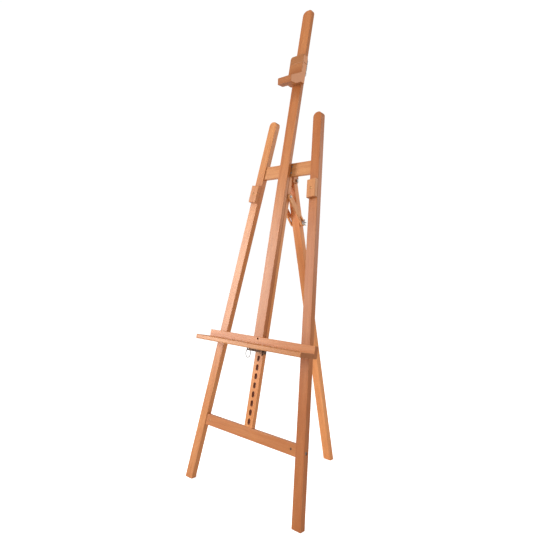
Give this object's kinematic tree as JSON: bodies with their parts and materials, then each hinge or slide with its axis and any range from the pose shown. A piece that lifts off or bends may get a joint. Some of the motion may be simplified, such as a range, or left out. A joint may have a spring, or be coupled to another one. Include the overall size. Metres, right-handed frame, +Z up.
{
  "type": "studio easel",
  "caption": "Lyre-shaped H-frame studio easel: two converging legs, ratchet column, sliding mast with tray and top clamp, folding rear leg.",
  "frame": {"origin": "on the floor, under the middle of the open easel's footprint", "axes": "+Z up, +X to the right of someone facing the tray, +Y back towards the rear leg"},
  "size_m": [0.7136, 0.6356, 2.1624],
  "materials": {
    "beech": "oiled beech, satin",
    "steel": "zinc plated",
    "dark_steel": "dark burnished",
    "felt": "felt"
  },
  "bodies": {
    "frame": {"left_leg": "beech", "right_leg": "beech", "lower_crossbar": "beech", "upper_crossbar": "beech", "ratchet_column": "beech", "left_crossbar_bolt": "steel", "right_crossbar_bolt": "steel", "left_barrel_nut": "steel", "right_barrel_nut": "steel", "mast_guide_key": "beech", "guide_key_screw_1": "steel", "guide_key_screw_2": "steel", "left_rest_block_screw": "steel", "right_rest_block_screw": "steel", "left_hinge_cheek": "beech", "right_hinge_cheek": "beech", "hinge_cheek_screw_1": "steel", "hinge_cheek_screw_2": "steel", "hinge_cheek_screw_3": "steel", "hinge_cheek_screw_4": "steel", "hinge_bolt": "steel", "hinge_nut": "steel", "left_stay_pivot_screw": "steel", "right_stay_pivot_screw": "steel"},
    "carriage": {"mast": "beech", "tray_board": "beech", "tray_ledge": "beech", "tray_ledge_screw_1": "steel", "tray_ledge_screw_2": "steel", "mast_foot_screw": "steel", "column_saddle": "beech", "saddle_screw_1": "steel", "saddle_screw_2": "steel", "latch_bracket": "dark_steel", "latch_bracket_screw_1": "steel", "latch_bracket_screw_2": "steel", "latch_pin": "steel", "latch_spring": "steel"},
    "latch": {"latch_pawl": "dark_steel"},
    "ring": {"pull_ring": "steel"},
    "clamp": {"clamp_cap": "beech", "clamp_jaw": "beech", "clamp_felt_pad": "felt", "left_clamp_hook": "steel", "right_clamp_hook": "steel", "clamp_hook_screw_1": "steel", "clamp_hook_screw_2": "steel", "clamp_hook_screw_3": "steel", "clamp_hook_screw_4": "steel"},
    "rear_leg": {"rear_leg": "beech", "stay_bolt": "steel", "left_stay_spacer": "steel", "right_stay_spacer": "steel"},
    "wing_nut": {"wing_nut": "steel"},
    "stays": {"left_stay": "beech", "right_stay": "beech"},
    "left_rest_block": {"left_rest_block": "beech"},
    "right_rest_block": {"right_rest_block": "beech"}
  },
  "joints": [
    {"name": "carriage_slide", "type": "slide", "parent": "frame", "child": "carriage", "axis": [0, 0.2139, 0.9769], "range_m": [-0.2695, 0.1925]},
    {"name": "clamp_slide", "type": "slide", "parent": "carriage", "child": "clamp", "axis": [0, 0.2139, 0.9769], "range_m": [-0.95, 0.2]},
    {"name": "rear_leg_fold", "type": "hinge", "parent": "frame", "child": "rear_leg", "pos_m": [0, 0.02635, 1.36601], "axis": [1, 0, 0], "range_deg": [-23.88, 0]},
    {"name": "stay_swing", "type": "hinge", "parent": "frame", "child": "stays", "pos_m": [0, -0.01973, 1.29113], "axis": [1, 0, 0], "range_deg": [-33.4, 0]},
    {"name": "wing_nut_turn", "type": "hinge", "parent": "rear_leg", "child": "wing_nut", "pos_m": [0.044, 0.06453, 1.17886], "axis": [1, 0, 0], "continuous": true},
    {"name": "pawl_swing", "type": "hinge", "parent": "carriage", "child": "latch", "pos_m": [0.03, -0.19013, 0.6204], "axis": [0, 0.2139, 0.9769], "range_deg": [0, 30], "stiffness_Nm_per_rad": 0.3, "springref_deg": -20.05},
    {"name": "ring_swing", "type": "hinge", "parent": "latch", "child": "ring", "pos_m": [-0.062, -0.19033, 0.61948], "axis": [1, 0, 0], "range_deg": [-35, 8]},
    {"name": "left_block_turn", "type": "hinge", "parent": "frame", "child": "left_rest_block", "pos_m": [-0.17478, -0.03939, 1.3154], "axis": [0, 0.9769, -0.2139], "continuous": true},
    {"name": "right_block_turn", "type": "hinge", "parent": "frame", "child": "right_rest_block", "pos_m": [0.17478, -0.03939, 1.3154], "axis": [0, 0.9769, -0.2139], "continuous": true}
  ],
  "couplings": [
    {"joint": "stay_swing", "follows": "rear_leg_fold", "ratio": 1.395}
  ]
}
